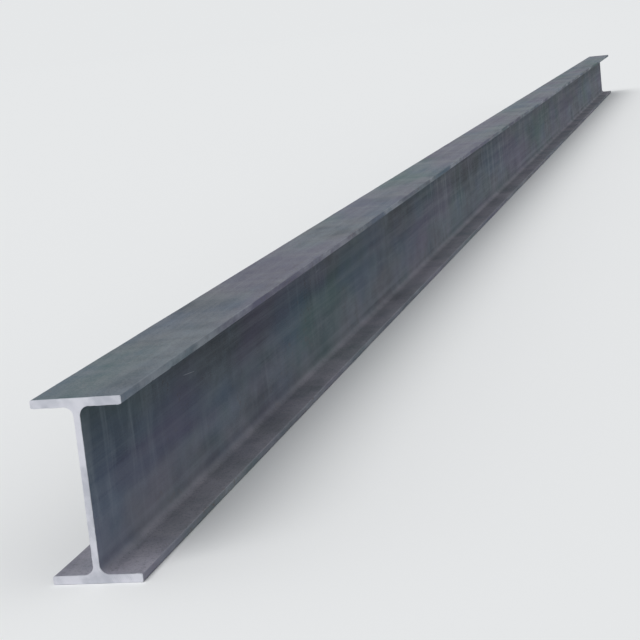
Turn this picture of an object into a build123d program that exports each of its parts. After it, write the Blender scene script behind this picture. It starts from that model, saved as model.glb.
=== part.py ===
from build123d import *
import os

# A rolled steel H-beam, 150 x 75 x 5 x 7 mm, as one plain stock length sawn square at both ends.
#
# The section is two parallel flanges joined by a thinner web. The rolls leave a fillet at each root,
# where web meets flange, and a small radius at each corner of the flange toes. The beam lies on its
# bottom flange, with the web upright.
#
# Frame, in millimetres: +Z is up, +Y runs along the length and +X is across the flanges. The origin is
# in the middle of the bottom flange's underside, halfway along the beam.

# Rolled section
BEAM_HEIGHT = 150.0
FLANGE_WIDTH = 75.0
WEB_THICKNESS = 5.0
FLANGE_THICKNESS = 7.0
ROOT_RADIUS = 8.0
TOE_RADIUS = 1.2

# Stock length, between the two sawn ends
BEAM_LENGTH = 6000.0

# What the steel weighs
STEEL_KG_PER_M3 = 7850.0
MM_PER_M = 1000.0


def corners_at(section, x_distance):
    """The section's sharp corners that lie at this distance either side of the web's middle plane."""
    tolerance = 0.001
    return section.vertices().filter_by(lambda corner: abs(abs(corner.X) - x_distance) < tolerance)


def rolled_section():
    """The H outline, seen along the length: X is across the flanges and the outline's Y is upwards."""
    web_height = BEAM_HEIGHT - 2 * FLANGE_THICKNESS
    flange_offset = (BEAM_HEIGHT - FLANGE_THICKNESS) / 2
    flange = Rectangle(FLANGE_WIDTH, FLANGE_THICKNESS)
    web = Rectangle(WEB_THICKNESS, web_height)
    sharp = web + Pos(0, flange_offset) * flange + Pos(0, -flange_offset) * flange
    rooted = fillet(corners_at(sharp, WEB_THICKNESS / 2), ROOT_RADIUS)
    return fillet(corners_at(rooted, FLANGE_WIDTH / 2), TOE_RADIUS)


def h_beam():
    """The section drawn out to the stock length, standing on its bottom flange."""
    outline = Plane.XZ * Pos(0, BEAM_HEIGHT / 2) * rolled_section()
    return extrude(outline, BEAM_LENGTH / 2, both=True)


os.makedirs("parts", exist_ok=True)
beam = h_beam()
export_step(beam, "parts/h_beam.step")

mass_kg = beam.volume / MM_PER_M**3 * STEEL_KG_PER_M3
print("volume mm3", round(beam.volume, 1))
print("mass kg", round(mass_kg, 2), "kg per m", round(mass_kg / (BEAM_LENGTH / MM_PER_M), 2))
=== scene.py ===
# %% [markdown]
# # A rolled steel H-beam, sawn to a stock length
#
# The real beam is one piece of steel. Heavy rolls squeeze a glowing bar into two flanges and a web, so
# nothing is welded or bolted: the inside corners are soft fillets and the toes of the flanges are slightly
# rounded. As it cools, a skin of blue-grey oxide forms, which the trade calls mill scale. A saw then cuts
# it to length, and only the two sawn ends show bright metal.
#
# Blender works here around a frame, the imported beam, which holds the true size in metres. The frame is
# loaded before anything else, and its box is kept, so that the finished beam can be measured against it.

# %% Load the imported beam
import math
import random

import bpy
from mathutils import Euler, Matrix, Quaternion, Vector, noise
from mathutils.geometry import delaunay_2d_cdt


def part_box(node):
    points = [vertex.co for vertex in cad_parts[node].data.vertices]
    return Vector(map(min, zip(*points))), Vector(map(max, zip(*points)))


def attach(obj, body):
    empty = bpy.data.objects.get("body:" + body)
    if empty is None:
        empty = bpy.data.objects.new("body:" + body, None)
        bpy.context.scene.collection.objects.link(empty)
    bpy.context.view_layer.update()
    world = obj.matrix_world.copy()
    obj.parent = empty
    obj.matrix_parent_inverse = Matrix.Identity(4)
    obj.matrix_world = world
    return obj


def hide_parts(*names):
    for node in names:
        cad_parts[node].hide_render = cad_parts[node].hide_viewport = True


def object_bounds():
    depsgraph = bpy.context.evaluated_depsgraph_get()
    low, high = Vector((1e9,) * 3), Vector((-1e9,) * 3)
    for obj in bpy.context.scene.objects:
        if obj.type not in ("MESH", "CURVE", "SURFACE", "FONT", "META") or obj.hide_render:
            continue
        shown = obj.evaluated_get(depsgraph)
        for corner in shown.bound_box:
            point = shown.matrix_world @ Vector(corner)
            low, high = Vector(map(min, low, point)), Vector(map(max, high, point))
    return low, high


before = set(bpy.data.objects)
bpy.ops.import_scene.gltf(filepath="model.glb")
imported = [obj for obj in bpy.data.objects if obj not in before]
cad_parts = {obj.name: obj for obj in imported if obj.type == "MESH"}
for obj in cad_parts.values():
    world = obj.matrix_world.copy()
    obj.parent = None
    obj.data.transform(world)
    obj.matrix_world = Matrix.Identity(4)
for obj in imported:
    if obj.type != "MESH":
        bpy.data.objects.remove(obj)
cad_low, cad_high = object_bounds()
print("packed beam, metres:", [round(size, 4) for size in cad_high - cad_low])

# %% [markdown]
# ## The measures of the section
#
# A rolled section is known by four numbers: its height, its width, and the thickness of its web and of its
# flanges. Height, width and length are read from the frame, because they may not differ from it. The rest
# are the standard measures of this size of beam, and each is written once.

# %% Measures, in metres
MM = 0.001
beam_low, beam_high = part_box("h_beam")
HEIGHT = beam_high.z
WIDTH = beam_high.x - beam_low.x
LENGTH = beam_high.y - beam_low.y
WEB = 5.0 * MM
FLANGE = 7.0 * MM
ROOT_RADIUS = 8.0 * MM
TOE_RADIUS = 1.2 * MM

NEAR_CUT = -LENGTH / 2
FAR_CUT = LENGTH / 2
print(f"section {HEIGHT / MM:.0f} x {WIDTH / MM:.0f} mm, length {LENGTH:.2f} m")

# %% [markdown]
# ## The outline of the section
#
# The beam could be made from boxes with bevelled edges, but a bevel knows nothing of a root fillet that
# is larger than the flange is thick. So the outline is drawn as a rolling mill's drawing gives it, from
# straight runs and arcs. Only the right half is drawn, from the middle of the bottom flange to the middle
# of the top one, and its mirror image closes the ring.
#
# Every run leaves its last point to the next run, so no point is there twice. The number of steps in each
# run can be multiplied, which gives a finer ring that still passes through every point of the plain one.

# %% Straight runs and arcs
def straight(start, end, steps):
    """Points from start towards end, without end itself."""
    first = Vector(start)
    last = Vector(end)
    return [first.lerp(last, step / steps) for step in range(steps)]


def bend(centre, radius, first_angle, last_angle, steps):
    """Points round an arc, with angles in degrees from +X, without the last point."""
    points = []
    for step in range(steps):
        angle = math.radians(first_angle + (last_angle - first_angle) * step / steps)
        points.append(Vector((centre[0] + radius * math.cos(angle), centre[1] + radius * math.sin(angle))))
    return points


# %% The whole ring of the H
def section_outline(fineness=1):
    """The H as a ring of (x, z) points, anticlockwise as seen from the near end."""
    side = WIDTH / 2
    toe = TOE_RADIUS
    root_x = WEB / 2 + ROOT_RADIUS
    low_root_z = FLANGE + ROOT_RADIUS
    high_root_z = HEIGHT - FLANGE - ROOT_RADIUS
    high_inside = HEIGHT - FLANGE
    half = straight((0, 0), (side - toe, 0), 6 * fineness)
    half += bend((side - toe, toe), toe, -90, 0, 3 * fineness)
    half += straight((side, toe), (side, FLANGE - toe), 3 * fineness)
    half += bend((side - toe, FLANGE - toe), toe, 0, 90, 3 * fineness)
    half += straight((side - toe, FLANGE), (root_x, FLANGE), 5 * fineness)
    half += bend((root_x, low_root_z), ROOT_RADIUS, 270, 180, 7 * fineness)
    half += straight((WEB / 2, low_root_z), (WEB / 2, high_root_z), 12 * fineness)
    half += bend((root_x, high_root_z), ROOT_RADIUS, 180, 90, 7 * fineness)
    half += straight((root_x, high_inside), (side - toe, high_inside), 5 * fineness)
    half += bend((side - toe, high_inside + toe), toe, -90, 0, 3 * fineness)
    half += straight((side, high_inside + toe), (side, HEIGHT - toe), 3 * fineness)
    half += bend((side - toe, HEIGHT - toe), toe, 0, 90, 3 * fineness)
    half += straight((side - toe, HEIGHT), (0, HEIGHT), 6 * fineness)
    top_middle = Vector((0, HEIGHT))
    mirrored = [Vector((-point.x, point.y)) for point in reversed(half[1:])]
    return half + [top_middle] + mirrored


def distances_round(ring):
    """How far round the ring each point lies, in metres, with the whole way round as a last entry."""
    travelled = [0.0]
    for index, point in enumerate(ring):
        following = ring[(index + 1) % len(ring)]
        travelled.append(travelled[-1] + (following - point).length)
    return travelled


def outward_directions(ring):
    """The direction that faces out of the steel at each point of the ring."""
    outward = []
    for index in range(len(ring)):
        way = ring[(index + 1) % len(ring)] - ring[index - 1]
        outward.append(Vector((way.y, -way.x)).normalized())
    return outward


FINENESS_AT_CUTS = 3
plain_ring = section_outline()
fine_ring = section_outline(FINENESS_AT_CUTS)
girth = distances_round(plain_ring)[-1]
print(len(plain_ring), "points round the section and", len(fine_ring), "at the cuts")
print("girth", round(girth, 4), "m")

# %% [markdown]
# ## Where the rings stand along the beam
#
# Six metres of even rings would either waste points or miss the small things. The saw marks the last few
# millimetres and slings mark the ends most, so the rings stand a fraction of a millimetre apart at each cut
# and open up towards the middle. A few more rings cross each nick, so that it has a real shape.

# %% Nicks that slings and chains leave on the flange edges
NICKS_NEAR_EACH_END = 7
NICKS_BETWEEN = 14
nick_dice = random.Random(41)


def thrown_nick(lowest_y, highest_y):
    """One nick: which of the four toes it is on, where, how long and how deep."""
    return {
        "side": nick_dice.choice((-1, 1)),
        "height": nick_dice.choice((0.0, FLANGE, HEIGHT - FLANGE, HEIGHT)),
        "along": nick_dice.uniform(lowest_y, highest_y),
        "half_length": nick_dice.uniform(1.2, 4.0) * MM,
        "depth": nick_dice.uniform(0.3, 0.9) * MM,
    }


END_ZONE = 0.35
nicks = [thrown_nick(NEAR_CUT, NEAR_CUT + END_ZONE) for _ in range(NICKS_NEAR_EACH_END)]
nicks += [thrown_nick(FAR_CUT - END_ZONE, FAR_CUT) for _ in range(NICKS_NEAR_EACH_END)]
nicks += [thrown_nick(NEAR_CUT + END_ZONE, FAR_CUT - END_ZONE) for _ in range(NICKS_BETWEEN)]
print(len(nicks), "nicks, the deepest", round(max(nick["depth"] for nick in nicks) / MM, 2), "mm")

# %% The stations of the rings
CUT_ZONE = [distance * MM for distance in (0.0, 0.10, 0.25, 0.5, 0.8, 1.2, 1.8, 2.6, 3.6, 5.0)]
CLOSEST_RINGS = 3.5 * MM
WIDEST_RINGS = 26.0 * MM
STAYS_CLOSE_FOR = 0.25
OPENING_UP = 1.06
RINGS_ACROSS_A_NICK = (-1.6, -1.0, -0.5, 0.0, 0.5, 1.0, 1.6)
CLEAR_OF_CUT_ZONE = 1.5 * MM
LEAST_STEP = 0.4 * MM


def distances_from_a_cut():
    """Distances from a cut to each plain ring, up to the middle of the beam."""
    distances = [CUT_ZONE[-1] + CLOSEST_RINGS]
    step = CLOSEST_RINGS
    while distances[-1] + step < LENGTH / 2:
        if distances[-1] > STAYS_CLOSE_FOR:
            step = min(step * OPENING_UP, WIDEST_RINGS)
        distances.append(distances[-1] + step)
    return distances


def plain_stations():
    """Every y at which a plain ring stands, in order, with extra ones across the nicks."""
    distances = distances_from_a_cut()
    stations = {NEAR_CUT + distance for distance in distances}
    stations |= {FAR_CUT - distance for distance in distances}
    for nick in nicks:
        for share in RINGS_ACROSS_A_NICK:
            stations.add(nick["along"] + share * nick["half_length"])
    kept = []
    for station in sorted(stations):
        clear_of_cuts = LENGTH / 2 - abs(station) > CUT_ZONE[-1] + CLEAR_OF_CUT_ZONE
        if clear_of_cuts and (not kept or station - kept[-1] > LEAST_STEP):
            kept.append(station)
    return kept


stations = plain_stations()
print(len(stations), "plain rings and", 2 * len(CUT_ZONE), "fine ones")

# %% [markdown]
# ## What the mill, the saw and handling do to the surface
#
# A rolled surface is never a perfect plane. The skin wavers by a tenth of a millimetre over a hand's
# breadth, the toes wander a little more, and the saw pushes a ragged burr out of the cut on the inside
# faces. Sculpting by hand would not repeat from run to run, so each of these is a small function of the
# place on the beam. Perlin noise supplies the unevenness: it is smooth and always gives the same answer for
# the same place. The outside faces only ever move inwards, so the beam keeps its size.

# %% The slow unevenness of the rolled skin
SKIN_WAVER = 0.10 * MM
TOE_WAVER = 0.22 * MM
TOE_RIPPLE = 0.35 * TOE_WAVER
SUNK_BY = 0.14 * MM

# Waves for each metre, along the beam and across it
SKIN_WAVES_ALONG = 3.1
SKIN_WAVES_ACROSS = 14
TOE_WAVES_ALONG = 11.0
TOE_RIPPLES_ALONG = 90.0
TOE_RIPPLES_UP = 60


def on_a_toe(place):
    """True on the edges of the flanges."""
    return abs(place.x) > WIDTH / 2 - 1.5 * TOE_RADIUS


def on_the_outside(place):
    """True on the faces that bound the beam, which may only move inwards."""
    level = place.y
    return on_a_toe(place) or level < FLANGE / 4 or level > HEIGHT - FLANGE / 4


def rolled_waver(place, along):
    """The slow unevenness of the rolled skin at this place, in metres."""
    spot = Vector((place.x * SKIN_WAVES_ACROSS, along * SKIN_WAVES_ALONG, place.y * SKIN_WAVES_ACROSS))
    waver = SKIN_WAVER * noise.noise(spot)
    if on_a_toe(place):
        side = math.copysign(5.0, place.x)
        flange = round(place.y / HEIGHT) * 3.0
        wave = noise.noise(Vector((side, along * TOE_WAVES_ALONG, flange)))
        ripple = noise.noise(Vector((side, along * TOE_RIPPLES_ALONG, place.y * TOE_RIPPLES_UP)))
        waver += TOE_WAVER * wave
        waver += TOE_RIPPLE * ripple
    return waver


# %% Nicks and burr
NICK_REACH_UP = 2.2 * MM
BURR_LEAST = 0.12 * MM
BURR_MOST = 0.5 * MM
BURR_REACH = 0.75 * MM
FINE_TEARS = 420
COARSE_TEARS = 95
EDGE_ROUNDING = 0.16 * MM
EDGE_REACH = 0.25 * MM


def nick_depth(place, along):
    """How deep the nicks bite here, in metres."""
    if not on_a_toe(place):
        return 0.0
    bite = 0.0
    for nick in nicks:
        off_along = (along - nick["along"]) / nick["half_length"]
        if nick["side"] * place.x > 0 and abs(off_along) < 2:
            off_up = (place.y - nick["height"]) / NICK_REACH_UP
            bite = max(bite, nick["depth"] * math.exp(-off_along**2 - off_up**2))
    return bite


def burr_height(place, from_cut):
    """How far the saw's burr stands out of the inside faces, in metres."""
    fine = noise.noise(Vector((place.x * FINE_TEARS, 2.5, place.y * FINE_TEARS)))
    coarse = noise.noise(Vector((place.x * COARSE_TEARS, 7.5, place.y * COARSE_TEARS)))
    ragged = max(0.0, 0.35 * coarse + 0.75 * fine + 0.1)
    height = BURR_LEAST + BURR_MOST * ragged
    return height * math.exp(-((from_cut / BURR_REACH) ** 2))


def edge_rounding(from_cut):
    """How far the very edge of a cut is drawn in, in metres."""
    return EDGE_ROUNDING * max(0.0, 1 - from_cut / EDGE_REACH)


# %% All of it together, for one point of one ring
def settled_point(place, outward, along):
    """A point of the section, moved to where the real skin lies, as (x, y, z)."""
    from_cut = LENGTH / 2 - abs(along)
    shift = rolled_waver(place, along) - nick_depth(place, along) - edge_rounding(from_cut)
    if on_the_outside(place):
        shift = min(shift - SUNK_BY, 0.0)
    else:
        shift += burr_height(place, from_cut)
    moved = place + outward * shift
    return (moved.x, along, moved.y)


# %% [markdown]
# ## Rings into a skin
#
# The rings are joined one to the next by four-cornered faces. Where a fine ring meets a plain one, three
# short steps of the fine ring meet one long step of the other. One face with six corners would do, but it
# falls apart into slivers when it is cut into triangles, so a triangle, a square and a triangle fill the
# gap. Each corner also remembers its place on the unrolled skin, the distance round the section and the
# distance along the beam. That is the map on which lengthwise streaks and scratches are drawn later.

# %% Helpers that stack up points and faces
points = []
faces = []
face_slots = []
skin_places = []
SCALE_SLOT = 0
SAWN_SLOT = 1


def add_ring(ring, along):
    """Adds one settled ring to the points and returns its point numbers."""
    first = len(points)
    for place, outward in zip(ring, outward_directions(ring)):
        points.append(settled_point(place, outward, along))
    return list(range(first, len(points)))


SAME_TO_SAME = [((0, 1), (0, 1))]
FINE_TO_PLAIN = [((0, 1), (0,)), ((1, 2), (0, 1)), ((2, 3), (1,))]
PLAIN_TO_FINE = [(plain, fine) for fine, plain in FINE_TO_PLAIN]


def join_rings(near, far, near_y, far_y):
    """Adds the faces between two rings, of which one may have three times the other's points."""
    steps = min(len(near), len(far))
    near_fineness = len(near) // steps
    far_fineness = len(far) // steps
    pattern = SAME_TO_SAME
    if near_fineness != far_fineness:
        pattern = FINE_TO_PLAIN if near_fineness > far_fineness else PLAIN_TO_FINE
    near_round = ring_distances[len(near)]
    far_round = ring_distances[len(far)]
    for step in range(steps):
        for near_corners, far_corners in pattern:
            near_span = [step * near_fineness + corner for corner in reversed(near_corners)]
            far_span = [step * far_fineness + corner for corner in far_corners]
            corners = [near[index % len(near)] for index in near_span]
            corners += [far[index % len(far)] for index in far_span]
            places = [(near_round[index], near_y) for index in near_span]
            places += [(far_round[index], far_y) for index in far_span]
            faces.append(corners)
            face_slots.append(SCALE_SLOT)
            skin_places.append(places)


ring_distances = {len(ring): distances_round(ring) for ring in (plain_ring, fine_ring)}

# %% The skin, from the near cut to the far one
levels = [(fine_ring, NEAR_CUT + distance) for distance in CUT_ZONE]
levels += [(plain_ring, station) for station in stations]
levels += [(fine_ring, FAR_CUT - distance) for distance in reversed(CUT_ZONE)]

ring_numbers = [add_ring(ring, along) for ring, along in levels]
for index in range(len(levels) - 1):
    join_rings(ring_numbers[index], ring_numbers[index + 1], levels[index][1], levels[index + 1][1])
print(len(points), "points and", len(faces), "faces in the skin")

# %% [markdown]
# ## The sawn ends
#
# A circular saw goes through the section in one pass and leaves a nearly flat face. One flat polygon would
# close the end, but then nothing could be uneven in it. A constrained Delaunay triangulation fills the
# outline with small even triangles instead, and their points can sink a few hundredths of a millimetre
# where the blade wandered. The finest marks of the teeth are left to the material.

# %% Fill the outline with small triangles
END_GRID = 1.6 * MM
KEEP_FROM_EDGE = 0.9 * MM
SAW_WANDER = 0.07 * MM
WANDERS_ACROSS = 30
WANDERS_UP = 18
ONE_SPOT_WITHIN = 1e-7


def inside_steel(x, z, margin):
    """True where a point of the section lies in the steel, at least this far from its edge."""
    in_web = abs(x) < WEB / 2 - margin and FLANGE <= z <= HEIGHT - FLANGE
    in_low_flange = margin < z < FLANGE - margin
    in_high_flange = HEIGHT - FLANGE + margin < z < HEIGHT - margin
    in_flange = abs(x) < WIDTH / 2 - margin and (in_low_flange or in_high_flange)
    joins_flange = abs(x) < WEB / 2 - margin and margin < z < HEIGHT - margin
    return in_web or in_flange or joins_flange


def grid_inside():
    """Points of an even grid that lie in the steel."""
    found = []
    columns = int(WIDTH / END_GRID)
    rows = int(HEIGHT / END_GRID)
    for row in range(rows + 1):
        for column in range(columns + 1):
            offset = 0.5 * (row % 2)
            x = (column + offset - columns / 2) * END_GRID
            z = (row + 0.5) * END_GRID
            if inside_steel(x, z, KEEP_FROM_EDGE):
                found.append(Vector((x, z)))
    return found


def saw_wander(x, z):
    """How far the blade sank below the plane of the cut here, in metres, never outwards."""
    slow = noise.noise(Vector((x * WANDERS_ACROSS, 4.0, z * WANDERS_UP)))
    return SAW_WANDER * (0.5 + 0.5 * slow)


def within(rim, spot):
    """True where a spot lies inside a closed rim: a line from it crosses the rim an odd number of times."""
    crossings = 0
    for first, second in zip(rim, rim[1:] + rim[:1]):
        if (first.y > spot.y) != (second.y > spot.y):
            share = (spot.y - first.y) / (second.y - first.y)
            crossings += spot.x < first.x + share * (second.x - first.x)
    return crossings % 2 == 1


def close_sawn_end(ring, cut_y):
    """Fills one end of the skin with triangles, facing outwards."""
    rim = [Vector((points[number][0], points[number][2])) for number in ring]
    rim_edges = [(index, (index + 1) % len(rim)) for index in range(len(rim))]
    filling = delaunay_2d_cdt(rim + grid_inside(), rim_edges, [], 0, ONE_SPOT_WITHIN, True)
    spots, _, filled, origins, _, _ = filling
    triangles = []
    for corners in filled:
        middle = sum((spots[corner] for corner in corners), Vector((0, 0))) / 3
        if within(rim, middle):
            triangles.append(corners)
    inward = 1 if cut_y < 0 else -1
    numbers = []
    for spot, came_from in zip(spots, origins):
        if came_from and came_from[0] < len(rim):
            numbers.append(ring[came_from[0]])
        else:
            numbers.append(len(points))
            points.append((spot.x, cut_y + inward * saw_wander(spot.x, spot.y), spot.y))
    for triangle in triangles:
        corners = [numbers[index] for index in triangle]
        faces.append(corners if cut_y < 0 else corners[::-1])
        face_slots.append(SAWN_SLOT)
        skin_places.append([(points[number][0], points[number][2]) for number in faces[-1]])
    return len(triangles)


near_triangles = close_sawn_end(ring_numbers[0], NEAR_CUT)
far_triangles = close_sawn_end(ring_numbers[-1], FAR_CUT)
print("sawn ends:", near_triangles, "and", far_triangles, "triangles")

# %% [markdown]
# ## Two maps on one mesh
#
# A map says where each corner of a face lies on a flat sheet. The first map holds true metres on the
# unrolled skin, for the streaks. It runs far beyond the unit square, which procedural textures don't mind.
# An exported picture of the finish has to fit into that square, so there is a second map for it. It lays
# the two halves of the beam side by side as two strips, gives the last hand's breadths at each cut more
# room than the plain middle, because people look there, and puts both sawn ends above them.

# %% Places on the picture sheet
SHEET_MARGIN = 0.01
STRIP_WIDTH = 0.475
STRIP_HEIGHT = 0.83
CLOSE_LENGTH = 0.40
CLOSE_SHARE = 0.32
END_SHEET_WIDTH = 0.28
END_SHEET_HEIGHT = 0.13


def up_the_strip(from_cut):
    """How high up its strip a place lies, from 0 at the cut to 1 at the middle of the beam."""
    if from_cut < CLOSE_LENGTH:
        return CLOSE_SHARE * from_cut / CLOSE_LENGTH
    return CLOSE_SHARE + (1 - CLOSE_SHARE) * (from_cut - CLOSE_LENGTH) / (LENGTH / 2 - CLOSE_LENGTH)


def skin_on_sheet(skin_face):
    """The picture places of one face of the skin, all in the strip of the nearer cut."""
    far_half = sum(along for _, along in skin_face) > 0
    left = SHEET_MARGIN + (1 - 2 * SHEET_MARGIN - STRIP_WIDTH if far_half else 0.0)
    places = []
    for travelled, along in skin_face:
        from_cut = FAR_CUT - along if far_half else along - NEAR_CUT
        right = left + STRIP_WIDTH * travelled / girth
        places.append((right, SHEET_MARGIN + STRIP_HEIGHT * up_the_strip(from_cut)))
    return places


def end_on_sheet(face):
    """The picture places of one face of a sawn end, laid on its side above the strips."""
    far_end = points[face[0]][1] > 0
    left = SHEET_MARGIN + (END_SHEET_WIDTH + 2 * SHEET_MARGIN if far_end else 0.0)
    base = STRIP_HEIGHT + 2 * SHEET_MARGIN
    places = []
    for number in face:
        x, _, z = points[number]
        right = left + END_SHEET_WIDTH * z / HEIGHT
        places.append((right, base + END_SHEET_HEIGHT * (x / WIDTH + 0.5)))
    return places


# %% Make the mesh and check that it is closed
SKIN_MAP = "unrolled_skin"
SHEET_MAP = "OFBake"


def lay_map(mesh, name, places):
    """Adds a map from the place of every corner of every face."""
    layer = mesh.uv_layers.new(name=name)
    layer.uv.foreach_set("vector", [number for face in places for place in face for number in place])


def closed_mesh(name):
    """The mesh of the points and faces, with its slots and its two maps."""
    mesh = bpy.data.meshes.new(name)
    mesh.from_pydata(points, [], faces)
    mesh.polygons.foreach_set("material_index", face_slots)
    mesh.polygons.foreach_set("use_smooth", [True] * len(faces))
    lay_map(mesh, SKIN_MAP, skin_places)
    sheet_places = []
    for face, slot, skin_face in zip(faces, face_slots, skin_places):
        sheet_places.append(skin_on_sheet(skin_face) if slot == SCALE_SLOT else end_on_sheet(face))
    lay_map(mesh, SHEET_MAP, sheet_places)
    mesh.update()
    return mesh


beam_mesh = closed_mesh("h_beam_steel")
beam = bpy.data.objects.new("h_beam_steel", beam_mesh)
bpy.context.scene.collection.objects.link(beam)

slots_at = {}
for polygon in beam_mesh.polygons:
    for key in polygon.edge_keys:
        slots_at.setdefault(key, []).append(polygon.material_index)
open_edges = sum(len(slots) != 2 for slots in slots_at.values())
triangle_count = sum(len(polygon.vertices) - 2 for polygon in beam_mesh.polygons)
print(triangle_count, "triangles,", open_edges, "edges that don't have exactly two faces")

# %% [markdown]
# ## Flat faces that stay flat
#
# Smooth shading blends the directions of neighbouring faces, which is right on a fillet and makes the wide
# flats beside it look swollen. Splitting the edges would make the fillets faceted. The Weighted Normal
# modifier lets the large faces decide, so the flats stay flat and the arcs stay round. The edge of each cut
# is marked sharp, as the saw left it.

# %% Sharp cuts and weighted normals
for edge in beam_mesh.edges:
    edge.use_edge_sharp = set(slots_at[edge.key]) == {SCALE_SLOT, SAWN_SLOT}

sharp_edges = sum(edge.use_edge_sharp for edge in beam_mesh.edges)
print(sharp_edges, "sharp edges round the two cuts")

flats = beam.modifiers.new("flats stay flat", "WEIGHTED_NORMAL")
flats.keep_sharp = True
flats.weight = 60

# %% [markdown]
# ## A small kit for finishes
#
# A tree that is wired up node by node is hard to read. This class holds one finish in the making, and each
# of its methods adds a node and hands back its output, so a finish reads like a recipe. Everything depends
# only on the place on the beam, never on where the camera stands, and so the finish stays put when the beam
# is seen from another side.

class Finish:
    """A tree of nodes in the making, of a material or of the world."""

    def __init__(self, owner):
        self.owner = owner
        self.owner.use_nodes = True
        self.tree = self.owner.node_tree
        self.shader = self.tree.nodes.get("Principled BSDF")

    def node(self, kind, **settings):
        made = self.tree.nodes.new(kind)
        for name, value in settings.items():
            setattr(made, name, value)
        return made

    def feed(self, socket, value):
        """Links an output to a socket, or sets a plain number or colour on it."""
        if isinstance(value, bpy.types.NodeSocket):
            self.tree.links.new(value, socket)
        else:
            socket.default_value = value

    def maths(self, operation, *values):
        made = self.node("ShaderNodeMath", operation=operation)
        for socket, value in zip(made.inputs, values):
            self.feed(socket, value)
        return made.outputs[0]

    def times(self, first, second):
        return self.maths("MULTIPLY", first, second)

    def plus(self, first, second):
        return self.maths("ADD", first, second)

    def mixture(self, *parts):
        """Adds up several values, each times its own share."""
        total = 0.0
        for value, share in parts:
            total = self.maths("MULTIPLY_ADD", value, share, total)
        return total

    def larger(self, first, second):
        return self.maths("MAXIMUM", first, second)

    def less(self, first, second):
        return self.maths("SUBTRACT", first, second)

    def unsigned(self, value):
        return self.maths("ABSOLUTE", value)

    def fade(self, value, start, end, low=0.0, high=1.0):
        """Goes smoothly from low to high as the value goes from start to end."""
        made = self.node("ShaderNodeMapRange", interpolation_type="SMOOTHSTEP")
        self.feed(made.inputs["Value"], value)
        self.feed(made.inputs["From Min"], start)
        self.feed(made.inputs["From Max"], end)
        self.feed(made.inputs["To Min"], low)
        self.feed(made.inputs["To Max"], high)
        return made.outputs["Result"]

    def blend(self, amount, under, over, mode="MIX"):
        """Lays one colour over another by an amount from 0 to 1. MULTIPLY darkens and keeps the hue."""
        made = self.node("ShaderNodeMix", data_type="RGBA", blend_type=mode)
        self.feed(made.inputs[0], amount)
        self.feed(made.inputs[6], under)
        self.feed(made.inputs[7], over)
        return made.outputs[2]

    def split(self, vector):
        made = self.node("ShaderNodeSeparateXYZ")
        self.feed(made.inputs[0], vector)
        return made.outputs

    def joined(self, x, y, z):
        made = self.node("ShaderNodeCombineXYZ")
        for socket, value in zip(made.inputs, (x, y, z)):
            self.feed(socket, value)
        return made.outputs[0]

    def turned(self, vector, degrees):
        """The same places, turned about Z."""
        made = self.node("ShaderNodeMapping", vector_type="POINT")
        self.feed(made.inputs["Vector"], vector)
        made.inputs["Rotation"].default_value = (0.0, 0.0, math.radians(degrees))
        return made.outputs[0]

    def grain(self, place, stretch, shift=0.0, detail=3.0, roughness=0.55, distortion=0.0):
        """Soft noise from 0 to 1. stretch is how many spots fit in a metre, one number for each axis."""
        scaled = self.node("ShaderNodeMapping", vector_type="POINT")
        self.feed(scaled.inputs["Vector"], place)
        scaled.inputs["Scale"].default_value = stretch
        scaled.inputs["Location"].default_value = (shift, shift * 1.7, shift * 0.6)
        made = self.node("ShaderNodeTexNoise", noise_dimensions="3D")
        self.feed(made.inputs["Vector"], scaled.outputs[0])
        made.inputs["Scale"].default_value = 1.0
        made.inputs["Detail"].default_value = detail
        made.inputs["Roughness"].default_value = roughness
        made.inputs["Distortion"].default_value = distortion
        return made.outputs["Fac"]

    def either(self, amount, first, second):
        """One shader where the amount is 0 and another where it is 1."""
        made = self.node("ShaderNodeMixShader")
        for socket, value in zip(made.inputs, (amount, first, second)):
            self.feed(socket, value)
        return made.outputs[0]

    def bump(self, height_mm):
        """A normal from a height in millimetres."""
        made = self.node("ShaderNodeBump")
        made.inputs["Strength"].default_value = 1.0
        made.inputs["Distance"].default_value = MM
        self.feed(made.inputs["Height"], height_mm)
        return made.outputs["Normal"]


def paint(red, green, blue):
    """A colour written as it looks on screen, 0 to 255, turned into the linear numbers that nodes use."""
    linear = []
    for level in (red, green, blue):
        share = level / 255
        linear.append(share / 12.92 if share <= 0.04045 else ((share + 0.055) / 1.055) ** 2.4)
    return (*linear, 1.0)


# %% [markdown]
# ## Mill scale
#
# Mill scale is a thin, hard oxide, slate grey with a blue cast. It isn't one colour. It is darker where it
# is thick and paler where the rolls rubbed it, it drifts a little towards teal or violet from place to
# place, and soft clouds run up and down the web where it cooled unevenly. It is nearly matt, so the shader
# is told to reflect little.
#
# Painting one picture over six metres would need an enormous image. Noise has detail at any size instead.
# Slow, middling and fine noise are laid over each other, so the finish has something to show both from
# afar and from a hand's breadth away.

# %% The colours of the scale
DEEP_SLATE = paint(51, 61, 71)
MID_SLATE = paint(91, 103, 114)
PALE_SLATE = paint(136, 147, 156)
TEAL_CAST = paint(47, 84, 84)
BLUE_CAST = paint(63, 83, 112)
VIOLET_CAST = paint(84, 76, 103)
CASTS = (
    (TEAL_CAST, 0.78, 23.0, (9.0, 2.6, 7.0)),
    (BLUE_CAST, 0.5, 31.0, (8.0, 3.4, 9.0)),
    (VIOLET_CAST, 0.7, 37.0, (10.0, 2.2, 8.0)),
)


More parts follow.
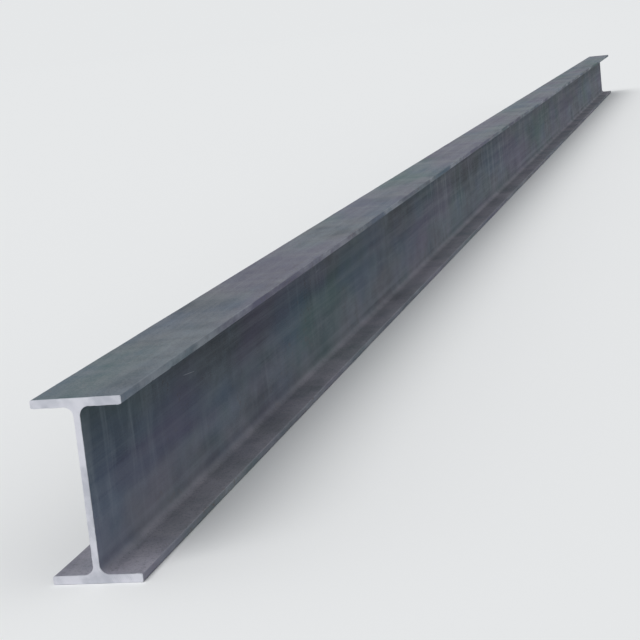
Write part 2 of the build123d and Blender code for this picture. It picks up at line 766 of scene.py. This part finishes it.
def rolled_scale_colour(finish, place, skin):
    """Clouded slate with slow casts of teal, blue and violet."""
    slow = finish.grain(place, (7, 1.5, 7), shift=3, detail=5, roughness=0.6)
    middling = finish.grain(place, (34, 14, 34), shift=11, detail=5, roughness=0.65)
    upright = finish.grain(skin, (6, 24, 1), shift=17, detail=4, roughness=0.5, distortion=0.7)
    fine = finish.grain(place, (460, 280, 460), shift=19, detail=5, roughness=0.75)
    tone = finish.mixture((slow, 0.40), (middling, 0.29), (upright, 0.17), (fine, 0.14))
    colour = finish.blend(finish.fade(tone, 0.42, 0.60), DEEP_SLATE, MID_SLATE)
    for cast, strength, shift, stretch in CASTS:
        patches = finish.grain(place, stretch, shift=shift, roughness=0.5)
        colour = finish.blend(finish.fade(patches, 0.45, 0.63, 0.0, strength), colour, cast)
    return colour


# %% [markdown]
# ## Streaks, flakes and the tracks of the straightener
#
# The rolls draw everything lengthwise, so fine streaks lie all over the skin. Here and there a flake of
# scale has come off and left a duller, slightly browner spot, and fine pits are scattered over it all. High
# on the web, under the top flange, a painted shade darkens the scale towards the top: it stands in for the
# shade that falls there.
#
# After cooling, the beam is pulled between straightening rolls that press on the web close beside the
# fillets, and these leave two faint paler tracks along it on each side. Streaks and tracks are laid out on
# the unrolled map, where they are simply straight.

# %% Streaks, flakes and tracks
FLAKED_SPOT = paint(98, 95, 96)
PITTED = paint(196, 196, 198)
# Tint of the painted shade high on the web, under the top flange.
PAINTED_SHADE_TINT = paint(176, 182, 188)
TOE_FACE = WIDTH / 2
TRACK_FROM_FLANGE = 22.0 * MM
TRACK_HALF_WIDTH = 6.0 * MM


def lengthwise_streaks(finish, skin):
    """Fine streaks along the beam, from 0, dark, to 1, pale."""
    fine = finish.grain(skin, (520, 6, 1), shift=5, detail=4, roughness=0.6)
    broad = finish.grain(skin, (75, 1.3, 1), shift=8)
    strength = finish.grain(skin, (11, 1.9, 1), shift=13, detail=2)
    lively = finish.fade(strength, 0.35, 0.7, 0.12, 0.45)
    fine = finish.times(finish.plus(fine, -0.5), lively)
    return finish.plus(finish.plus(fine, 0.28), finish.times(broad, 0.45))


def painted_shade_under_flange(finish, across, height, looks_up):
    """Painted shade high on the web under the top flange, from 0 to 1."""
    up_the_web = finish.fade(height, 0.2 * HEIGHT, 0.85 * HEIGHT)
    inside = finish.fade(finish.unsigned(across), TOE_FACE - 4 * MM, TOE_FACE - 1 * MM, 1.0, 0.0)
    not_on_top = finish.fade(looks_up, 0.3, 0.8, 1.0, 0.0)
    return finish.times(finish.times(up_the_web, inside), not_on_top)


def flaked_spots(finish, place):
    """1 where a flake of scale has come off, 0 elsewhere."""
    flakes = finish.grain(place, (170, 110, 170), shift=43, detail=4, roughness=0.62)
    patches = finish.grain(place, (12, 5, 12), shift=47)
    bar = finish.fade(patches, 0.35, 0.7, 0.72, 0.56)
    return finish.fade(finish.less(flakes, bar), 0.0, 0.03)


def fine_pits(finish, place):
    """Pits and specks about a millimetre wide all over the scale, from 0 to 1."""
    pits = finish.grain(place, (1150, 800, 1150), shift=53, roughness=0.6)
    patches = finish.grain(place, (22, 9, 22), shift=57)
    bar = finish.fade(patches, 0.3, 0.7, 0.66, 0.56)
    return finish.fade(finish.less(pits, bar), 0.0, 0.05)


def straightener_tracks(finish, across, height, skin):
    """1 in the tracks on the web, 0 elsewhere."""
    from_middle = finish.unsigned(finish.plus(height, -HEIGHT / 2))
    off_track = finish.unsigned(finish.plus(from_middle, TRACK_FROM_FLANGE - HEIGHT / 2))
    in_track = finish.fade(off_track, TRACK_HALF_WIDTH * 0.4, TRACK_HALF_WIDTH, 1.0, 0.0)
    on_web = finish.fade(finish.unsigned(across), WEB, WEB * 1.3, 1.0, 0.0)
    worn = finish.fade(finish.grain(skin, (60, 1.1, 1), shift=51, detail=4), 0.38, 0.66)
    return finish.times(finish.times(in_track, on_web), worn)


# %% [markdown]
# ## Dust, painted light low down, rain marks and a little rust
#
# The beam has lain outdoors. Dust settles on the faces that look up, most of all in the lower root, where
# no rain washes it away. Low on the web and on the lower flange, this paler dust is also painted light: it
# brightens faces that lie in shade. Rain leaves faint runs down the web, and a breath of rust starts where
# the scale is thinnest, at the toes. The photograph shows very little rust, so it stays a faint tint. Which
# way a face looks comes from the object's own normal.

# %% What the weather leaves
DUST = paint(138, 140, 143)
# Partly dust, partly painted light that brightens the shaded lower web and lower flange.
ROOT_DUST_AND_PAINTED_LIGHT = paint(164, 161, 171)
GRIT = paint(58, 60, 66)
BURNISHED = paint(138, 143, 151)
RUST = paint(112, 84, 66)
SPLASH_AND_PAINTED_LIGHT_HEIGHT = 80.0 * MM


def settled_dust(finish, looks_up, skin, place):
    """How much dust lies here, from 0 to 1."""
    faces_up = finish.fade(looks_up, 0.3, 0.95)
    film = finish.grain(skin, (46, 12, 1), shift=61, detail=6, roughness=0.68)
    bands = finish.grain(place, (3, 12, 1.2), shift=71, distortion=0.8)
    grains = finish.grain(place, (420, 330, 420), shift=67, detail=4, roughness=0.75)
    amount = finish.mixture((film, 0.35), (bands, 0.35), (grains, 0.3))
    return finish.times(faces_up, finish.fade(amount, 0.38, 0.62, 0.1, 0.6))


def splashed_dust_and_painted_light(finish, height, looks_up, skin):
    """Dust splashed up from the lower flange, and painted light that brightens the shaded lower web and
    flange, from 0 to 1, thickest on the flange itself.
    """
    low_down = finish.fade(height, FLANGE, SPLASH_AND_PAINTED_LIGHT_HEIGHT, 0.8, 0.0)
    low_down = finish.plus(low_down, finish.times(finish.fade(looks_up, 0.2, 1.0), low_down))
    not_below = finish.fade(looks_up, -0.3, 0.0)
    clouds = finish.grain(skin, (14, 9, 1), shift=77, detail=5, roughness=0.6)
    amount = finish.times(low_down, finish.fade(clouds, 0.3, 0.7, 0.18, 0.54))
    return finish.times(amount, not_below)


def settled_grit(finish, looks_up, place):
    """Dark specks and crumbs of scale that lie on the faces that look up, from 0 to 1."""
    faces_up = finish.fade(looks_up, 0.5, 0.95)
    coarse = finish.grain(place, (310, 240, 310), shift=171, roughness=0.7)
    fine = finish.grain(place, (880, 720, 880), shift=177, detail=2, roughness=0.6)
    specks = finish.mixture((coarse, 0.45), (fine, 0.55))
    return finish.times(faces_up, finish.fade(specks, 0.48, 0.68, 0.0, 0.45))


def rain_runs(finish, looks_up, skin):
    """Faint runs across the skin, which is down the web, from 0 to 1."""
    upright = finish.fade(finish.unsigned(looks_up), 0.2, 0.7, 1.0, 0.0)
    runs = finish.grain(skin, (8, 48, 1), shift=81, detail=5, roughness=0.6, distortion=0.5)
    patches = finish.grain(skin, (5, 2.2, 1), shift=91)
    strong = finish.times(finish.fade(runs, 0.42, 0.75), finish.fade(patches, 0.42, 0.66))
    return finish.times(strong, upright)


def rubbed_toes(finish, across, place):
    """Where handling has burnished the toes of the flanges, from 0 to 1."""
    at_toe = finish.fade(finish.unsigned(across), TOE_FACE - 2.2 * MM, TOE_FACE - 0.5 * MM)
    worn = finish.grain(place, (60, 9, 25), shift=181, detail=5, roughness=0.6)
    return finish.times(at_toe, finish.fade(worn, 0.42, 0.66))


def rust_bloom(finish, across, place):
    """How much rust shows here, from 0 to 1, mostly at the toes."""
    at_toe = finish.fade(finish.unsigned(across), TOE_FACE - 5 * MM, TOE_FACE, 0.1, 1.0)
    freckles = finish.grain(place, (260, 150, 260), shift=101, detail=4, roughness=0.7)
    patches = finish.grain(place, (20, 3.5, 20), shift=111)
    spots = finish.times(finish.fade(freckles, 0.5, 0.72), finish.fade(patches, 0.45, 0.65))
    return finish.times(spots, at_toe)


# %% [markdown]
# ## Scratches and the bare rim of the cut
#
# Where the beam was dragged or a chain rubbed it, the scale is broken and bare steel shows in thin short
# lines. Noise that is squeezed one way and stretched the other has long thin peaks, and only the tips of
# the highest are used. Turning the unrolled map first gives each family of scratches its own lean. Close to
# the saw cut the scale has flaked off in an uneven rim a millimetre or so wide.

# %% Where bare steel shows
BARE_STEEL = paint(190, 193, 200)
RIM_WIDTH = 1.1 * MM


def scratches(finish, skin, lean, shift):
    """Thin straight scratches that lean this many degrees from the beam's length, only in some patches."""
    leaned = finish.turned(skin, lean)
    peaks = finish.grain(leaned, (1300, 9, 1), shift=shift, detail=1)
    patches = finish.grain(skin, (16, 4, 1), shift=shift + 7, detail=2)
    bar = finish.fade(patches, 0.45, 0.75, 0.92, 0.74)
    return finish.fade(finish.less(peaks, bar), 0.0, 0.05)


def bare_rim(finish, along, place):
    """1 on the bare rim beside each cut, 0 elsewhere."""
    from_cut = finish.less(LENGTH / 2, finish.unsigned(along))
    ragged = finish.grain(place, (300, 300, 300), shift=121)
    past_rim = finish.less(from_cut, finish.times(ragged, 2 * RIM_WIDTH))
    return finish.fade(past_rim, -0.2 * MM, 0.25 * MM, 1.0, 0.0)


# %% The whole skin
SCRATCH_LEANS = {2.5: 131.0, -6.0: 147.0}


def mill_scale_finish():
    """The finish of everything but the sawn ends."""
    finish = Finish(bpy.data.materials.new("blue_grey_mill_scale"))
    coordinates = finish.node("ShaderNodeTexCoord")
    place = coordinates.outputs["Object"]
    across, along, height = finish.split(place)
    looks_up = finish.split(coordinates.outputs["Normal"])[2]
    skin = finish.node("ShaderNodeUVMap", uv_map=SKIN_MAP).outputs[0]

    streaks = lengthwise_streaks(finish, skin)
    painted_shade = painted_shade_under_flange(finish, across, height, looks_up)
    flakes = flaked_spots(finish, place)
    pits = fine_pits(finish, place)
    tracks = straightener_tracks(finish, across, height, skin)
    dust = settled_dust(finish, looks_up, skin, place)
    splash_and_painted_light = splashed_dust_and_painted_light(finish, height, looks_up, skin)
    grit = settled_grit(finish, looks_up, place)
    runs = rain_runs(finish, looks_up, skin)
    rubbed = rubbed_toes(finish, across, place)
    rust = rust_bloom(finish, across, place)
    scratched = 0.0
    for lean, shift in SCRATCH_LEANS.items():
        scratched = finish.larger(scratches(finish, skin, lean, shift), scratched)
    rim = bare_rim(finish, along, place)
    bare = finish.larger(finish.times(scratched, 0.4), rim)

    colour = rolled_scale_colour(finish, place, skin)
    colour = finish.blend(finish.fade(streaks, 0.38, 0.66, 0.0, 0.16), colour, PALE_SLATE)
    colour = finish.blend(finish.times(flakes, 0.5), colour, FLAKED_SPOT)
    colour = finish.blend(finish.times(tracks, 0.3), colour, PALE_SLATE)
    # Painted shade: the web darkens towards the top, under the top flange.
    colour = finish.blend(painted_shade, colour, PAINTED_SHADE_TINT, "MULTIPLY")
    colour = finish.blend(pits, colour, PITTED, "MULTIPLY")
    colour = finish.blend(finish.times(runs, 0.3), colour, PALE_SLATE)
    colour = finish.blend(dust, colour, DUST)
    # Partly dust, partly painted light: paler low on the web and on the top of the lower flange.
    colour = finish.blend(splash_and_painted_light, colour, ROOT_DUST_AND_PAINTED_LIGHT)
    colour = finish.blend(grit, colour, GRIT)
    colour = finish.blend(finish.times(rubbed, 0.45), colour, BURNISHED)
    colour = finish.blend(finish.times(rust, 0.5), colour, RUST)
    colour = finish.blend(bare, colour, BARE_STEEL)

    dust_and_painted_light = finish.larger(dust, splash_and_painted_light)
    matt = finish.fade(streaks, 0.3, 0.7, 0.70, 0.54)
    dulled = finish.mixture((matt, 1.0), (flakes, 0.12), (dust_and_painted_light, 0.25), (rust, 0.2))
    roughness = finish.mixture((dulled, 1.0), (tracks, -0.08), (rubbed, -0.16), (bare, -0.14))

    orange_peel = finish.grain(place, (240, 160, 240), shift=151, detail=6, roughness=0.65)
    raised_mm = finish.mixture((streaks, 0.06), (orange_peel, 0.1), (grit, 0.05))
    height_mm = finish.mixture((raised_mm, 1.0), (flakes, -0.03), (pits, -0.03), (scratched, -0.03))

    metal = finish.fade(bare, 0.0, 1.0, 0.2, 1.0)
    metal = finish.times(metal, finish.fade(dust_and_painted_light, 0.0, 1.0, 1.0, 0.2))

    finish.feed(finish.shader.inputs["Base Color"], colour)
    finish.feed(finish.shader.inputs["Metallic"], metal)
    finish.feed(finish.shader.inputs["Roughness"], roughness)
    finish.feed(finish.shader.inputs["Normal"], finish.bump(height_mm))
    finish.shader.inputs["Specular IOR Level"].default_value = 0.15
    return finish.owner


# %% [markdown]
# ## Sawn steel
#
# The cut is bright, nearly white against the scale, with the arcs of the saw's teeth faintly across it. The
# blade is far wider than the beam, so the arcs are gentle. They are rings around a point well outside the
# section: the distance from that point goes through a sine, and a little noise keeps the spacing uneven.

# %% The sawn ends
SAWN_PALE = paint(221, 221, 229)
SAWN_GREY = paint(188, 190, 199)
BLADE_CENTRE = (-0.42, 0.0, -0.18)
TOOTH_PITCH = 1.5 * MM
CHATTER_PITCH = 9.0 * MM


def sawn_steel_finish():
    """The bright finish of both cuts, with the arcs that the saw left."""
    finish = Finish(bpy.data.materials.new("bright_sawn_steel"))
    place = finish.node("ShaderNodeTexCoord").outputs["Object"]
    across, along, height = finish.split(place)
    flat_place = finish.joined(across, 0.0, height)
    away = finish.node("ShaderNodeVectorMath", operation="DISTANCE")
    finish.feed(away.inputs[0], flat_place)
    away.inputs[1].default_value = BLADE_CENTRE
    wobble = finish.grain(place, (60, 1, 60), shift=5, detail=2)
    distance = finish.plus(away.outputs["Value"], finish.times(wobble, 0.8 * MM))

    teeth = finish.maths("SINE", finish.times(distance, 2 * math.pi / TOOTH_PITCH))
    chatter = finish.maths("SINE", finish.times(distance, 2 * math.pi / CHATTER_PITCH))
    clouds = finish.grain(place, (38, 1, 38), shift=15, detail=5, roughness=0.6)
    broken = finish.fade(finish.grain(place, (90, 1, 40), shift=35, detail=2), 0.35, 0.7)
    teeth = finish.times(teeth, broken)
    tone = finish.mixture((clouds, 1.0), (chatter, 0.03), (teeth, 0.04))
    colour = finish.blend(finish.fade(tone, 0.3, 0.65), SAWN_GREY, SAWN_PALE)

    height_mm = finish.mixture((teeth, 0.008), (chatter, 0.02))
    finish.feed(finish.shader.inputs["Base Color"], colour)
    finish.feed(finish.shader.inputs["Metallic"], 0.85)
    finish.feed(finish.shader.inputs["Roughness"], finish.fade(tone, 0.3, 0.7, 0.48, 0.38))
    finish.feed(finish.shader.inputs["Normal"], finish.bump(height_mm))
    return finish.owner


beam_mesh.materials.append(mill_scale_finish())
beam_mesh.materials.append(sawn_steel_finish())
print("finishes:", [material.name for material in beam_mesh.materials])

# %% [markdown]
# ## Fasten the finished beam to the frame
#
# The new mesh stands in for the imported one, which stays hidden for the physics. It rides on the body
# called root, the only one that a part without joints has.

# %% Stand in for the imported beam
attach(beam, "root")
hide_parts("h_beam")

# %% [markdown]
# ## A pale floor
#
# The plain pale floor is only there to catch the beam's soft shadow. A wall would get in the way when the
# beam is looked at from the other side, so the floor is a wide disc that fades into the background.

# %% The floor
FLOOR_RADIUS = 60.0
FADE_FROM = 14.0
PALE_FLOOR = (0.88, 0.88, 0.88, 1.0)
BACKGROUND = (0.785, 0.80, 0.81, 1.0)
RIM_POINTS = 128


def pale_floor():
    """A wide flat disc that fades into the background."""
    mesh = bpy.data.meshes.new("pale_floor")
    rim = []
    for index in range(RIM_POINTS):
        angle = 2 * math.pi * index / RIM_POINTS
        rim.append((FLOOR_RADIUS * math.cos(angle), FLOOR_RADIUS * math.sin(angle), 0.0))
    mesh.from_pydata(rim, [], [list(range(RIM_POINTS))])
    floor = bpy.data.objects.new("pale_floor", mesh)
    bpy.context.scene.collection.objects.link(floor)
    return floor


def floor_finish():
    """Matt and pale, turning into the background far away."""
    finish = Finish(bpy.data.materials.new("pale_floor"))
    finish.shader.inputs["Base Color"].default_value = PALE_FLOOR
    finish.shader.inputs["Roughness"].default_value = 1.0
    finish.shader.inputs["Specular IOR Level"].default_value = 0.0
    place = finish.node("ShaderNodeTexCoord").outputs["Object"]
    length = finish.node("ShaderNodeVectorMath", operation="LENGTH")
    finish.feed(length.inputs[0], place)
    far = finish.fade(length.outputs["Value"], FADE_FROM, FLOOR_RADIUS * 0.7)
    glow = finish.node("ShaderNodeEmission")
    glow.inputs["Color"].default_value = BACKGROUND
    fading = finish.either(far, finish.shader.outputs[0], glow.outputs[0])
    finish.feed(finish.tree.nodes["Material Output"].inputs["Surface"], fading)
    return finish.owner


floor = pale_floor()
floor.data.materials.append(floor_finish())

# %% [markdown]
# ## Soft light
#
# The light in the photograph is that of an overcast day: the sawn end and the top are lit, and the side is
# in shade. A sun lamp as wide as a large window stands in for the bright part of the sky, to the left and
# behind the camera, and the world lights the rest evenly. Together they light a face that looks up at
# about one, so that a colour comes out roughly as it is written. What the camera and reflections see of
# the world is the plain pale background, and the light it sheds is set apart from that.

# %% The sky and the key light
SKY_LEVEL = 0.55
SKY_COLOUR = (0.95, 0.98, 1.0, 1.0)
KEY_STRENGTH = 1.6
KEY_WIDTH = math.radians(40)
KEY_COMES_FROM = Vector((-0.9, -2.4, 2.8))


def soft_sky():
    """A world that sheds even light and looks like the plain background."""
    sky = Finish(bpy.data.worlds.new("soft_sky"))
    sky.tree.nodes.clear()
    seen = sky.node("ShaderNodeBackground")
    seen.inputs["Color"].default_value = BACKGROUND
    shed = sky.node("ShaderNodeBackground")
    shed.inputs["Color"].default_value = SKY_COLOUR
    shed.inputs["Strength"].default_value = SKY_LEVEL
    rays = sky.node("ShaderNodeLightPath").outputs
    looks = sky.larger(rays["Is Camera Ray"], rays["Is Glossy Ray"])
    looks = sky.larger(looks, rays["Is Transmission Ray"])
    output = sky.node("ShaderNodeOutputWorld")
    sky.feed(output.inputs["Surface"], sky.either(looks, shed.outputs[0], seen.outputs[0]))
    return sky.owner


def key_light():
    """A wide, soft sun from the left, behind the camera."""
    lamp = bpy.data.lights.new("key_light", "SUN")
    lamp.energy = KEY_STRENGTH
    lamp.angle = KEY_WIDTH
    holder = bpy.data.objects.new("key_light", lamp)
    holder.rotation_mode = "QUATERNION"
    holder.rotation_quaternion = KEY_COMES_FROM.to_track_quat("Z", "Y")
    bpy.context.scene.collection.objects.link(holder)
    return holder


bpy.context.scene.world = soft_sky()
key_light()
bpy.context.scene.view_settings.view_transform = "Standard"

# %% [markdown]
# ## The camera
#
# In the photograph the camera is half a metre to the right of this beam, 1.3 metres in front of its near
# end and three times its height above its foot. It looks 22 degrees down and 7 degrees to the left of the
# beam's own direction, and the beam leans 4 degrees to the left. The camera goes to that place, and as the
# beam stands upright here, the lean is given to the camera instead. Then it is swung, without any twist of
# its own, and zoomed until the whole beam just fills the square picture. Only the place of the camera
# decides how the beam recedes, so swinging and zooming don't change that.

# %% Where the camera is and how it looks in the photograph
CAMERA_FROM_AXIS = Vector((0.481, 0.0, 0.382))
CAMERA_BEFORE_CUT = 1.278
LOOKS_DOWN = math.radians(22.2)
LOOKS_LEFT = math.radians(6.7)
BEAM_LEANS = math.radians(4.4)
FILLS_THE_PICTURE = 0.91
SENSOR_MM = 36.0

lean = Quaternion((0.0, 1.0, 0.0), BEAM_LEANS)
near_end = Vector((0.0, NEAR_CUT, HEIGHT / 2))
camera_place = near_end + lean @ CAMERA_FROM_AXIS - Vector((0.0, CAMERA_BEFORE_CUT, 0.0))
photo_look = lean @ Euler((math.pi / 2 - LOOKS_DOWN, 0.0, LOOKS_LEFT)).to_quaternion()
print("camera at", [round(number, 3) for number in camera_place])


# %% Swing and zoom until the beam fills the picture
def swung_towards(direction):
    """The photograph's own look, swung without twist until it points this way."""
    straight_ahead = photo_look @ Vector((0.0, 0.0, -1.0))
    return straight_ahead.rotation_difference(direction) @ photo_look


def seen_extents(look):
    """The slopes at which the box's corners are seen: leftmost, rightmost, lowest and highest."""
    across = []
    up = []
    for x in (cad_low.x, cad_high.x):
        for y in (cad_low.y, cad_high.y):
            for z in (cad_low.z, cad_high.z):
                local = look.inverted() @ (Vector((x, y, z)) - camera_place)
                across.append(local.x / -local.z)
                up.append(local.y / -local.z)
    return min(across), max(across), min(up), max(up)


look = swung_towards(near_end - camera_place)
for _ in range(10):
    left, right, low, high = seen_extents(look)
    look = swung_towards(look @ Vector(((left + right) / 2, (low + high) / 2, -1.0)))
half_width = max(right - left, high - low) / 2 / FILLS_THE_PICTURE

lens = bpy.data.cameras.new("camera")
lens.sensor_width = SENSOR_MM
lens.lens = SENSOR_MM / 2 / half_width
lens.clip_start = 0.05
lens.clip_end = 500.0
camera = bpy.data.objects.new("camera", lens)
camera.location = camera_place
camera.rotation_mode = "QUATERNION"
camera.rotation_quaternion = look
bpy.context.scene.collection.objects.link(camera)
bpy.context.scene.camera = camera
print("lens", round(lens.lens, 1), "mm")
